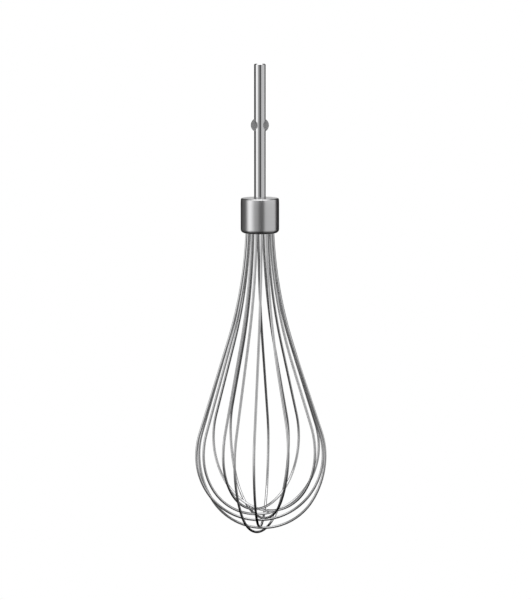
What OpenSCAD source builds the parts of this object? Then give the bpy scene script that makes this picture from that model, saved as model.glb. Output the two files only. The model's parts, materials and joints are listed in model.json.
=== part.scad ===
// Balloon whisk attachment for a hand mixer.
// A round shank with two pinched drive ears carries a drawn steel collar, and
// eight bent wires (sixteen legs) leave the collar's mouth as a balloon.
// Origin: on the shank's axis, level with the middle of the drive ears.
// +Z runs up the shank to its tip. Units are millimetres.

/* [Shank] */
// Diameter of the drive shank
shank_d = 5.5; // [5.4:0.1:5.8]
// Height of the shank's tip above the middle of the ears
tip_height = 28.9; // [25:0.1:35]
// Chamfer round the shank's tip
tip_chamfer = 0.4; // [0.2:0.1:0.8]
// Length of the knurled end inside the wire holder
knurl_length = 4.5; // [3:0.5:5]
// Number of grooves in the knurl
knurl_grooves = 24; // [16:1:30]

/* [Drive ears] */
// Distance across both ears
ear_span = 8.4; // [8:0.1:9]
// Height of an ear where it meets the rod
ear_height = 5.6; // [5:0.1:6]
// Distance between the inner edges of the two pinched flats
flat_spacing = 2.7; // [2.5:0.1:3.4]
// Thickness left between the two flats of an ear
ear_thickness = 2.4; // [2:0.1:2.8]
// Turn of the ears' line from the X axis
ear_turn = 6; // [0:1:30]
// How far the pinching draws the rod in, at the middle of the ears
waist_draw = 0.03; // [0.02:0.01:0.1]
// How far the drawn-in waist runs past the ears, above and below
waist_run = 0.4; // [0.3:0.1:0.6]

/* [Collar] */
// Outside diameter of the collar
collar_d = 18.4; // [18:0.1:18.8]
// Height of the collar
collar_height = 16.7; // [15.5:0.1:17.5]
// Distance from the middle of the ears down to the collar's top face
collar_drop = 34.6; // [32:0.1:38]
// Wall of the collar
collar_wall = 0.8; // [0.6:0.1:0.9]
// Edge radius at the collar's top
top_edge_r = 0.8; // [0.4:0.1:1]
// Height over which the collar's side curves in towards the top edge
crown_height = 3; // [2:0.5:4]
// How far the side would curve in by the top face
crown_draw = 0.15; // [0.05:0.05:0.3]
// Edge radius where the collar's mouth is rolled inwards
lip_edge_r = 1.8; // [1.6:0.1:2]

/* [Wires] */
// Diameter of the wire
wire_d = 1.2; // [1:0.05:1.25]
// Radius of the ring of holes that the legs start from
ring_r = 6.15; // [6.05:0.05:6.2]
// Turn of the ring of holes about the shank
ring_turn = -3.5; // [-6:0.5:0]
// Radius of the curve that flares a leg outwards
flare_r = 210; // [190:5:230]
// Radius of the curve that turns a leg down again at the shoulder
shoulder_r = 38.5; // [30:0.5:60]
// Drop from the wire holder to the widest point of the balloon
belly_drop = 114; // [110:1:118]
// Radius of the balloon at its widest point
belly_r = 30.4; // [30:0.1:31]
// How far the balloon leans over towards +X at its widest point
belly_shift = 0.65; // [0:0.05:1]

/* [Hidden] */

// Fineness of small rounds and of the long wire curves
ROUND = 64;
LONG_ROUND = 360;
// Overlap that makes sure that a cut goes right through
CUT = 1;

// The loops are bent and set by hand, so no two are alike. Each row holds:
// the front leg's turn, the back leg's turn, what each adds to the belly's radius,
// what the loop adds to the belly's drop, and its depth below the belly.
// Turns are in degrees from the -Y direction, and grow towards +X.
LOOPS = [
    [-87.5, -87, 1.2, -0.3, 4.2, 32.1],
    [-67, -71.5, -0.3, -0.6, 1.5, 31.4],
    [-36.5, -39, -0.2, -0.8, -0.5, 30.5],
    [-24.5, -26.5, -0.1, 0.2, 1.8, 39.7],
    [-6.5, -6.5, -0.2, 0, 2, 36.7],
    [24.5, 30.5, 0.4, 0, -3.9, 38.2],
    [57, 51.5, 0.2, 0, -1, 32.5],
    [86, 87, 0.7, 0, 3.7, 36.4],
];
loop_count = len(LOOPS);
leg_count = 2 * loop_count;
leg_step = 360 / leg_count;
// Turn along the lower side curve before the bottom curve starts
side_turn = 31;
// A wire's bent and straight lengths stop short of each other by twice this gap,
// and a bead that stands this proud of the wire joins them into one solid
join_gap = 0.03;
bead_proud = 0.01;

shank_r = shank_d / 2;
collar_r = collar_d / 2;
collar_top = -collar_drop;
collar_mouth = collar_top - collar_height;
bore_r = collar_r - collar_wall;
mouth_r = collar_r - lip_edge_r;

// The holder fills the top of the collar, and the plug most of the rest.
// The shank's end and the plug's lower face are both set back a little.
fit_gap = 0.02;
holder_top = collar_top - collar_wall;
holder_bottom = -42.2;
socket_depth = 4.5;
shank_recess = 0.6;
shank_bottom = holder_bottom + shank_recess;
plug_recess = 0.8;
plug_bottom = collar_mouth + plug_recess;

// Direction of a turn, measured from -Y towards +X
function facing(turn) = [sin(turn), -cos(turn)];

// ---- Drive shank --------------------------------------------------------

// Radius of the arc through an ear's root and its outermost point
ear_reach = ear_span / 2 - shank_r;
ear_arc_r = (pow(ear_height / 2, 2) + pow(ear_reach, 2)) / (2 * ear_reach);
// Radius of the arc that bounds a flat on its inner side
flat_arc_r = 3.1;

module across_y(thickness) {
    rotate([90, 0, 0])
        linear_extrude(thickness, center = true) children();
}

module ear_outline() {
    translate([ear_span / 2 - ear_arc_r, 0]) circle(ear_arc_r, $fn = ROUND);
}

// The lens-shaped flat that the pinching tool leaves on an ear
module flat_outline() {
    intersection() {
        ear_outline();
        translate([flat_spacing / 2 + flat_arc_r, 0]) circle(flat_arc_r, $fn = ROUND);
    }
}

module both_sides() {
    for (side = [0, 180])
        rotate([0, 0, side]) children();
}

module rod() {
    rotate_extrude($fn = ROUND)
        polygon([
            [0, shank_bottom],
            [shank_r, shank_bottom],
            [shank_r, -ear_height / 2 - waist_run],
            [shank_r - waist_draw, 0],
            [shank_r, ear_height / 2 + waist_run],
            [shank_r, tip_height - tip_chamfer],
            [shank_r - tip_chamfer, tip_height],
            [0, tip_height],
        ]);
}

module knurl_cuts() {
    groove_w = 0.4;
    for (i = [0 : knurl_grooves - 1])
        rotate([0, 0, i * 360 / knurl_grooves])
            translate([shank_r, 0, shank_bottom - CUT])
                rotate([0, 0, 45])
                    translate([-groove_w / 2, -groove_w / 2, 0])
                        cube([groove_w, groove_w, knurl_length + CUT]);
}

module drive_shank() {
    color([0.74, 0.74, 0.76]) {
        difference() {
            rod();
            knurl_cuts();
            rotate([0, 0, ear_turn]) both_sides()
                difference() {
                    across_y(shank_d + CUT) flat_outline();
                    across_y(ear_thickness) square(2 * ear_span, center = true);
                }
        }
        rotate([0, 0, ear_turn]) both_sides()
            across_y(ear_thickness)
                intersection() {
                    ear_outline();
                    translate([shank_r / 2, -ear_height])
                        square([ear_span, 2 * ear_height]);
                }
    }
}

// ---- Collar -------------------------------------------------------------

// What a rounded top corner leaves out of its square, from an angle above +X up to +Y
module corner_cut(r, from = 0) {
    reach = r + CUT;
    difference() {
        polygon([[0, 0], [reach, reach * tan(from)], [reach, reach], [0, reach]]);
        circle(r, $fn = ROUND);
    }
}

module bottom_corner_cut(r) {
    rotate(-90) corner_cut(r);
}

// Right half of a round cup's section, with its own edge radii
module half_section(r, bottom, top, bottom_r, top_r) {
    difference() {
        translate([0, bottom]) square([r, top - bottom]);
        translate([r - bottom_r, bottom + bottom_r]) bottom_corner_cut(bottom_r);
        translate([r - top_r, top - top_r]) corner_cut(top_r);
    }
}

// The crown's arc is tangent to the side below it and to the top edge's arc
crown_r = (pow(crown_height, 2) + pow(crown_draw, 2)) / (2 * crown_draw);
crown_lean = asin((crown_height - top_edge_r) / (crown_r - top_edge_r));
top_edge_x = collar_r - crown_r + (crown_r - top_edge_r) * cos(crown_lean);

module collar_outside() {
    difference() {
        translate([0, collar_mouth]) square([collar_r, collar_height]);
        translate([collar_r - lip_edge_r, collar_mouth + lip_edge_r])
            bottom_corner_cut(lip_edge_r);
        translate([collar_r - crown_r, collar_top - crown_height]) difference() {
            square([crown_r + CUT, crown_height + CUT]);
            circle(crown_r, $fn = LONG_ROUND);
        }
        translate([top_edge_x, collar_top - top_edge_r]) corner_cut(top_edge_r, crown_lean);
    }
}

module collar() {
    shank_gap = 0.1;
    color([0.66, 0.66, 0.67]) rotate_extrude($fn = ROUND)
        difference() {
            collar_outside();
            half_section(
                bore_r, collar_mouth + collar_wall, holder_top,
                lip_edge_r - collar_wall, top_edge_r / 2
            );
            translate([0, collar_mouth - CUT]) square([mouth_r, collar_wall + 2 * CUT]);
            translate([0, collar_top - 2 * CUT]) square([shank_r + shank_gap, 3 * CUT]);
        }
}

// ---- Wire holder and sealing plug ----------------------------------------

module each_leg() {
    for (i = [0 : leg_count - 1])
        rotate([0, 0, ring_turn + (i + 0.5) * leg_step])
            translate([ring_r, 0, 0]) children();
}

module wire_holder() {
    holder_chamfer = 0.6;
    color([0.45, 0.45, 0.47]) difference() {
        rotate_extrude($fn = ROUND)
            polygon([
                [0, holder_bottom],
                [bore_r - fit_gap, holder_bottom],
                [bore_r - fit_gap, holder_top - fit_gap - holder_chamfer],
                [bore_r - fit_gap - holder_chamfer, holder_top - fit_gap],
                [0, holder_top - fit_gap],
            ]);
        translate([0, 0, shank_bottom])
            cylinder(r = shank_r + fit_gap, h = collar_height, $fn = ROUND);
        each_leg()
            translate([0, 0, holder_bottom - CUT])
                cylinder(
                    d = wire_d + 2 * fit_gap,
                    h = socket_depth + fit_gap + CUT,
                    $fn = ROUND / 2
                );
    }
}

module sealing_plug() {
    edge_gap = 0.1;
    plug_edge = lip_edge_r - collar_wall + edge_gap;
    color([0.2, 0.2, 0.21]) difference() {
        rotate_extrude($fn = ROUND)
            half_section(
                bore_r - fit_gap, plug_bottom, holder_bottom - fit_gap,
                plug_edge, top_edge_r / 2
            );
        for (row = [0 : loop_count - 1], side = [0, 1])
            at_hole(row, side)
                flare(belly_r, belly_drop, wire_d + 2 * fit_gap);
    }
}

// ---- Wire loops -----------------------------------------------------------
// side is 0 for a loop's front leg and 1 for its back leg. A leg lies in the
// upright plane through its hole and its point on the belly: a flare outwards,
// a straight run, and a shoulder that ends upright. Below the belly the loop is
// a flat oval of three arcs, in the upright plane through its two belly points.

function leg_hole(row, side) =
    ring_r * facing(ring_turn + (row - (loop_count - 1) / 2) * leg_step + 180 * side);
function leg_belly(row, side) =
    (belly_r + LOOPS[row][2 + side]) * facing(LOOPS[row][side] + 180 * side)
    + [belly_shift, 0];
function belly_fall(row) = belly_drop + LOOPS[row][4];
function heading(v) = atan2(v.y, v.x);

// How far a leg's straight run is, and how far it leans from upright
function leg_run(reach, fall) =
    sqrt(pow(reach - flare_r - shoulder_r, 2) + pow(fall, 2) - pow(flare_r + shoulder_r, 2));
function leg_lean(reach, fall) =
    atan2(reach - flare_r - shoulder_r, fall)
    + atan2(flare_r + shoulder_r, leg_run(reach, fall));

// A bent length of wire in the XZ plane, centred on the origin, from an angle
// above +X. It stops short of each end by the join gap, which a bead fills.
module bent_wire(r, from, sweep, d) {
    short = join_gap / r * 180 / PI;
    rotate([90, 0, 0]) rotate([0, 0, from + short])
        rotate_extrude(angle = sweep - 2 * short, $fn = LONG_ROUND)
            translate([r, 0]) circle(d = d, $fn = ROUND / 2);
}

module straight_wire(length) {
    translate([0, 0, join_gap])
        cylinder(d = wire_d, h = length - 2 * join_gap, $fn = ROUND / 2);
}

module bead() {
    sphere(d = wire_d + 2 * bead_proud, $fn = ROUND / 2);
}

module flare(reach, fall, d) {
    translate([flare_r, 0, 0]) bent_wire(flare_r, 180, leg_lean(reach, fall), d);
}

// Puts its children at a leg's hole, heading towards its point on the belly
module at_hole(row, side) {
    start = leg_hole(row, side);
    way = leg_belly(row, side) - start;
    translate([start.x, start.y, holder_bottom]) rotate([0, 0, heading(way)]) children();
}

module leg(row, side) {
    reach = norm(leg_belly(row, side) - leg_hole(row, side));
    fall = belly_fall(row);
    lean = leg_lean(reach, fall);
    at_hole(row, side) {
        straight_wire(socket_depth);
        bead();
        flare(reach, fall, wire_d);
        translate([flare_r * (1 - cos(lean)), 0, -flare_r * sin(lean)])
            rotate([0, 180 - lean, 0]) {
                bead();
                straight_wire(leg_run(reach, fall));
                translate([0, 0, leg_run(reach, fall)]) bead();
            }
        translate([reach - shoulder_r, 0, -fall]) bent_wire(shoulder_r, 0, lean, wire_d);
        translate([reach, 0, -fall]) bead();
    }
}

module oval_bottom(half_width, depth) {
    spread = (depth - half_width) / (sin(side_turn) + cos(side_turn) - 1);
    side_r = half_width + spread * cos(side_turn);
    bottom_r = side_r - spread;
    both_sides() {
        translate([half_width - side_r, 0, 0])
            bent_wire(side_r, -side_turn, side_turn, wire_d);
        translate([bottom_r * cos(side_turn), 0, bottom_r - depth - bottom_r * sin(side_turn)])
            bead();
    }
    translate([0, 0, bottom_r - depth])
        bent_wire(bottom_r, side_turn - 180, 180 - 2 * side_turn, wire_d);
}

module wire_loop(row) {
    front = leg_belly(row, 0);
    back = leg_belly(row, 1);
    middle = (front + back) / 2;
    color([0.72, 0.73, 0.75]) {
        leg(row, 0);
        leg(row, 1);
        translate([middle.x, middle.y, holder_bottom - belly_fall(row)])
            rotate([0, 0, heading(front - back)])
                oval_bottom(norm(front - back) / 2, LOOPS[row][5]);
    }
}

drive_shank();
collar();
wire_holder();
sealing_plug();
wire_loop(0);  // wire_loop_1
wire_loop(1);  // wire_loop_2
wire_loop(2);  // wire_loop_3
wire_loop(3);  // wire_loop_4
wire_loop(4);  // wire_loop_5
wire_loop(5);  // wire_loop_6
wire_loop(6);  // wire_loop_7
wire_loop(7);  // wire_loop_8
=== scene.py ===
"""Looks for a hand mixer's balloon whisk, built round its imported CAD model. Units are metres."""

import json
import math

import bpy
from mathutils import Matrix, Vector


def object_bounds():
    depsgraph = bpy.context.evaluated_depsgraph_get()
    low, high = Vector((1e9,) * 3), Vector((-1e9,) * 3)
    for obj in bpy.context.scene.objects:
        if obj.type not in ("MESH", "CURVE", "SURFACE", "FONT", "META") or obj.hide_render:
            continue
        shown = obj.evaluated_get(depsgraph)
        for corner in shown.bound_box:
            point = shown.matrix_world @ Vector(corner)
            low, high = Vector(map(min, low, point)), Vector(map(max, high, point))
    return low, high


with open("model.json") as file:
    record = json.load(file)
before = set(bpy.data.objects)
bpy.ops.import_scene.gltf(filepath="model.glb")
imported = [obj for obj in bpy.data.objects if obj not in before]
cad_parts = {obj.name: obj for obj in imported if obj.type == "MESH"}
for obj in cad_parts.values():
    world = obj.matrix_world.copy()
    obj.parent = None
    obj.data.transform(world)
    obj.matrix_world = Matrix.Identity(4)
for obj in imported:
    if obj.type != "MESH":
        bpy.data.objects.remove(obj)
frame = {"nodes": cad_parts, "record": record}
cad_low, cad_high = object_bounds()
MM = 0.001
WHITE = (1.0, 1.0, 1.0, 1.0)


# ---- Node helpers -----------------------------------------------------------


class Nodes:
    """Adds shader nodes to a tree and wires them up."""

    def __init__(self, tree):
        self.tree = tree
        tree.nodes.clear()

    def add(self, kind, settings=None, **inputs):
        """A node with its settings and inputs.

        An input is a number, a colour or another node's output. It is named after its socket,
        with _ for a space, or after the socket's place in the node, as in _0 and _1.
        """
        node = self.tree.nodes.new(kind)
        for name, value in (settings or {}).items():
            setattr(node, name, value)
        for name, value in inputs.items():
            key = int(name[1:]) if name[1:].isdigit() else name.replace("_", " ")
            socket = node.inputs[key]
            if isinstance(value, bpy.types.NodeSocket):
                self.link(value, socket)
            else:
                socket.default_value = value
        return node

    def link(self, output, socket):
        self.tree.links.new(output, socket)

    def math(self, operation, a, b=0.0):
        return self.add("ShaderNodeMath", {"operation": operation}, _0=a, _1=b).outputs[0]

    def ramp(self, factor, stops):
        """A colour ramp of grey levels. stops is a list of (position from 0 to 1, grey level)."""
        node = self.add("ShaderNodeValToRGB", _0=factor)
        elements = node.color_ramp.elements
        while len(elements) < len(stops):
            elements.new(1.0)
        for element, (position, level) in zip(elements, stops):
            element.position = position
            element.color = (level, level, level, 1.0)
        return node.outputs["Color"]


# ---- Studio -----------------------------------------------------------------

# The levels below were set by hand, in many rounds, against brightnesses that scratch scripts
# measured in the photograph. The reflections that they give match it for its own camera only.

# Brightness of the walls round the object, by compass direction in degrees.
# 0 is towards -Y, and the compass grows towards +X.
WALL_PANELS = [
    (-177, 0.74), (-169, 0.03), (-140, 0.03), (-125, 0.14), (-95, 0.15),
    (-80, 0.70), (-68, 0.80), (-56, 0.75), (-34, 0.48), (-12, 0.46),
    (-2, 0.125), (25, 0.115), (30, 0.77), (106, 0.80), (110, 0.03),
    (169, 0.02), (177, 0.62),
]
# What a height above the horizon, in degrees, multiplies the walls' brightness by
WALL_HEIGHTS = [
    (-62, 0.01), (-46, 0.145), (-30, 0.30), (-15, 0.76), (-6, 1.02),
    (5, 1.20), (18, 1.26), (28, 1.08), (42, 0.34),
]
# A lamp panel adds this brightness by compass direction, times this share by height
LAMP_PANEL = [(-84, 0.0), (-69, 0.92), (-57, 0.96), (-30, 0.06), (-12, 0.0)]
LAMP_HEIGHTS = [(-28, 0.0), (-14, 1.0), (6, 1.0), (20, 0.0)]
# The soft box hangs over the object, a little towards -Y. Its middle is at this height,
# it is at its full level out to the inner angle, and it fades to nothing at the outer one.
SOFTBOX_HEIGHT = 77
SOFTBOX_INNER = 24
SOFTBOX_OUTER = 46
SOFTBOX_LEVEL = 2.4

# Half the floor's width, and its gap below the whisk
FLOOR_HALF = 3.0
FLOOR_GAP = 0.02

# The camera stands on the -Y side. It looks down by this many degrees at a point this far
# away, which lies this far from the middle of the whisk's box.
CAMERA_ELEVATION = 7.93
CAMERA_DISTANCE = 0.8658
CAMERA_AIM = (0.0023, -0.0001, 0.0009)
CAMERA_LENS = 108
CAMERA_SENSOR = 36
CAMERA_NEAR = 0.01
CAMERA_FAR = 20


def walls(n, axes):
    """The light that comes from each direction of the walls and the lamp panel."""
    compass = n.math("ARCTAN2", axes["X"], n.math("MULTIPLY", axes["Y"], -1.0))
    turn = n.math("ADD", n.math("DIVIDE", compass, 2 * math.pi), 0.5)
    height = n.math("ADD", n.math("DIVIDE", n.math("ARCSINE", axes["Z"]), math.pi), 0.5)

    def panel(levels, shares):
        across = n.ramp(turn, [(0.5 + angle / 360.0, level) for angle, level in levels])
        upright = n.ramp(height, [(0.5 + angle / 180.0, share) for angle, share in shares])
        return n.math("MULTIPLY", across, upright)

    return n.math("ADD", panel(WALL_PANELS, WALL_HEIGHTS), panel(LAMP_PANEL, LAMP_HEIGHTS))


def softbox(n, way):
    """How much of a direction the soft box fills, from 0 to 1."""
    tilt = math.radians(SOFTBOX_HEIGHT)
    middle = (0.0, -math.cos(tilt), math.sin(tilt))
    nearness = n.add("ShaderNodeVectorMath", {"operation": "DOT_PRODUCT"}, _0=way, _1=middle)
    fade = [(SOFTBOX_OUTER, 0.0), (SOFTBOX_INNER, 1.0)]
    stops = [(math.cos(math.radians(angle)), level) for angle, level in fade]
    return n.ramp(nearness.outputs["Value"], stops)


def studio_light():
    """Soft panels that light the object and show in its steel. The camera itself sees plain white."""
    world = bpy.data.worlds.new("studio")
    bpy.context.scene.world = world
    world.use_nodes = True
    n = Nodes(world.node_tree)
    way = n.add("ShaderNodeTexCoord").outputs["Generated"]
    axes = n.add("ShaderNodeSeparateXYZ", _0=way).outputs
    seen = n.add("ShaderNodeMix", {"data_type": "RGBA"})
    n.link(softbox(n, way), seen.inputs["Factor"])
    n.link(walls(n, axes), seen.inputs["A"])
    seen.inputs["B"].default_value = (SOFTBOX_LEVEL, SOFTBOX_LEVEL, SOFTBOX_LEVEL, 1.0)
    studio = n.add("ShaderNodeBackground", Color=seen.outputs["Result"], Strength=1.0)
    backdrop = n.add("ShaderNodeBackground", Color=WHITE, Strength=1.0)
    from_camera = n.add("ShaderNodeLightPath").outputs["Is Camera Ray"]
    both = n.add("ShaderNodeMixShader", _0=from_camera, _1=studio.outputs[0], _2=backdrop.outputs[0])
    n.add("ShaderNodeOutputWorld", Surface=both.outputs[0])


def floor():
    """A glowing white floor that only the camera sees: the whisk gets no light or shadow from it."""
    half = FLOOR_HALF
    mesh = bpy.data.meshes.new("floor")
    z = cad_low.z - FLOOR_GAP
    corners = [(-half, -half, z), (half, -half, z), (half, half, z), (-half, half, z)]
    mesh.from_pydata(corners, [], [(0, 1, 2, 3)])
    obj = bpy.data.objects.new("floor", mesh)
    bpy.context.scene.collection.objects.link(obj)
    material, n = new_material("floor_white")
    glow = n.add("ShaderNodeEmission", Color=WHITE, Strength=1.0)
    n.add("ShaderNodeOutputMaterial", Surface=glow.outputs[0])
    mesh.materials.append(material)
    obj.visible_glossy = False
    obj.visible_diffuse = False
    obj.visible_shadow = False


def camera():
    """A long lens that looks along +Y from slightly above."""
    elevation = math.radians(CAMERA_ELEVATION)
    aim = (cad_low + cad_high) / 2 + Vector(CAMERA_AIM)
    data = bpy.data.cameras.new("camera")
    data.lens = CAMERA_LENS
    data.sensor_width = CAMERA_SENSOR
    data.clip_start = CAMERA_NEAR
    data.clip_end = CAMERA_FAR
    obj = bpy.data.objects.new("camera", data)
    bpy.context.scene.collection.objects.link(obj)
    away = Vector((0.0, math.cos(elevation), -math.sin(elevation)))
    obj.location = aim - away * CAMERA_DISTANCE
    obj.rotation_euler = (math.pi / 2 - elevation, 0.0, 0.0)
    bpy.context.scene.camera = obj


# ---- Materials --------------------------------------------------------------

# The steel's grain and its broad smudges. Noise scales are frequencies per metre.
GRAIN_DETAIL = 6.0
GRAIN_ROUGHNESS = 0.65
SMUDGE_SCALE = 160.0
SMUDGE_DETAIL = 3.0
# What the grain multiplies the steel's colour by, from its dark lines to its light ones
DARK_TONE = 0.93
LIGHT_TONE = 1.07
# The direction of a brushed highlight, in turns from the tangent that runs round Z
BRUSHED_TURN = 0.25

# The round rod's surface lies within this band of radii, and the ears' flats and rims lie outside it
ROD_SURFACE = 2.735 * MM
ROD_BAND = 0.035 * MM
EAR_HALF_HEIGHT = 3.3 * MM

# The resin's faint clouds, how deep they are, and how much rougher they make it
CLOUD_SCALE = 900.0
CLOUD_DETAIL = 4.0
CLOUD_DEPTH = 0.02 * MM
RESIN_ROUGHNESS = 0.42
RESIN_CLOUDING = 0.15


def new_material(name):
    material = bpy.data.materials.new(name)
    material.use_nodes = True
    return material, Nodes(material.node_tree)


def pinched(n, place):
    """1 on the flats and rims of the drive ears, and 0 on the round rod."""
    axes = n.add("ShaderNodeSeparateXYZ", _0=place).outputs
    x_squared = n.math("POWER", axes["X"], 2.0)
    y_squared = n.math("POWER", axes["Y"], 2.0)
    radius = n.math("SQRT", n.math("ADD", x_squared, y_squared))
    off_surface = n.math("ABSOLUTE", n.math("SUBTRACT", radius, ROD_SURFACE))
    off_rod = n.math("GREATER_THAN", off_surface, ROD_BAND)
    near = n.math("LESS_THAN", n.math("ABSOLUTE", axes["Z"]), EAR_HALF_HEIGHT)
    return n.math("MULTIPLY", off_rod, near)


def steel(name, colour, roughness, grain_scale, grain_depth, dust, brushed=0.0, worn=0.0):
    """Bare steel with fine lines.

    grain_scale is the grain's frequency per metre along X, Y and Z, and grain_depth its depth.
    dust is how far grain and smudges vary the roughness, brushed is how much the highlight
    stretches, and worn is the roughness that the pinched ears add.
    """
    material, n = new_material(name)
    place = n.add("ShaderNodeTexCoord").outputs["Object"]
    stretched = n.add("ShaderNodeMapping", _0=place, Scale=grain_scale).outputs[0]
    grain = n.add(
        "ShaderNodeTexNoise", _0=stretched, Scale=1.0, Detail=GRAIN_DETAIL, Roughness=GRAIN_ROUGHNESS
    ).outputs["Fac"]
    smudge = n.add(
        "ShaderNodeTexNoise", _0=place, Scale=SMUDGE_SCALE, Detail=SMUDGE_DETAIL
    ).outputs["Fac"]
    tone = n.add("ShaderNodeMix", {"data_type": "RGBA"})
    n.link(grain, tone.inputs["Factor"])
    tone.inputs["A"].default_value = (*[c * DARK_TONE for c in colour], 1.0)
    tone.inputs["B"].default_value = (*[c * LIGHT_TONE for c in colour], 1.0)
    rough = n.math("ADD", roughness, n.math("MULTIPLY", n.math("SUBTRACT", grain, 0.5), dust))
    rough = n.math("ADD", rough, n.math("MULTIPLY", n.math("SUBTRACT", smudge, 0.5), dust))
    if worn:
        rough = n.math("ADD", rough, n.math("MULTIPLY", pinched(n, place), worn))
    bump = n.add("ShaderNodeBump", Strength=1.0, Distance=grain_depth, Height=grain)
    shader = n.add(
        "ShaderNodeBsdfPrincipled",
        Base_Color=tone.outputs["Result"],
        Metallic=1.0,
        Roughness=rough,
        Normal=bump.outputs[0],
    )
    if brushed:
        around = n.add("ShaderNodeTangent", {"direction_type": "RADIAL", "axis": "Z"}).outputs[0]
        n.link(around, shader.inputs["Tangent"])
        shader.inputs["Anisotropic"].default_value = brushed
        shader.inputs["Anisotropic Rotation"].default_value = BRUSHED_TURN
    n.add("ShaderNodeOutputMaterial", Surface=shader.outputs[0])
    return material


def resin(name, colour):
    """Dark satin resin with faint clouds."""
    material, n = new_material(name)
    place = n.add("ShaderNodeTexCoord").outputs["Object"]
    cloud = n.add("ShaderNodeTexNoise", _0=place, Scale=CLOUD_SCALE, Detail=CLOUD_DETAIL).outputs["Fac"]
    bump = n.add("ShaderNodeBump", Strength=1.0, Distance=CLOUD_DEPTH, Height=cloud)
    rough = n.math("ADD", RESIN_ROUGHNESS, n.math("MULTIPLY", cloud, RESIN_CLOUDING))
    shader = n.add(
        "ShaderNodeBsdfPrincipled", Base_Color=(*colour, 1.0), Roughness=rough, Normal=bump.outputs[0]
    )
    n.add("ShaderNodeOutputMaterial", Surface=shader.outputs[0])
    return material


MATERIALS = {
    "shank_steel": steel(
        "shank_steel", colour=(0.57, 0.57, 0.575), roughness=0.09,
        grain_scale=(4000, 4000, 60), grain_depth=0.0004 * MM, dust=0.03, worn=0.4,
    ),
    "collar_steel": steel(
        "collar_steel", colour=(0.60, 0.60, 0.605), roughness=0.33,
        grain_scale=(60, 60, 9000), grain_depth=0.0008 * MM, dust=0.05, brushed=0.6,
    ),
    "wire_steel": steel(
        "wire_steel", colour=(0.60, 0.60, 0.605), roughness=0.07,
        grain_scale=(900, 900, 900), grain_depth=0.0002 * MM, dust=0.03,
    ),
    "holder_metal": steel(
        "holder_metal", colour=(0.55, 0.55, 0.56), roughness=0.35,
        grain_scale=(60, 60, 3000), grain_depth=0.002 * MM, dust=0.08,
    ),
    "plug_resin": resin("plug_resin", colour=(0.03, 0.03, 0.032)),
}


def dress_cad_nodes():
    """Gives each CAD node the finish of its material slot."""
    for part in frame["record"]["subparts"]:
        node = frame["nodes"][part["node"]]
        for slot in node.material_slots:
            slot.material = MATERIALS[part["material_slot"]]


# ---- The scene --------------------------------------------------------------

bpy.context.scene.view_settings.view_transform = "Standard"
studio_light()
floor()
camera()
dress_cad_nodes()
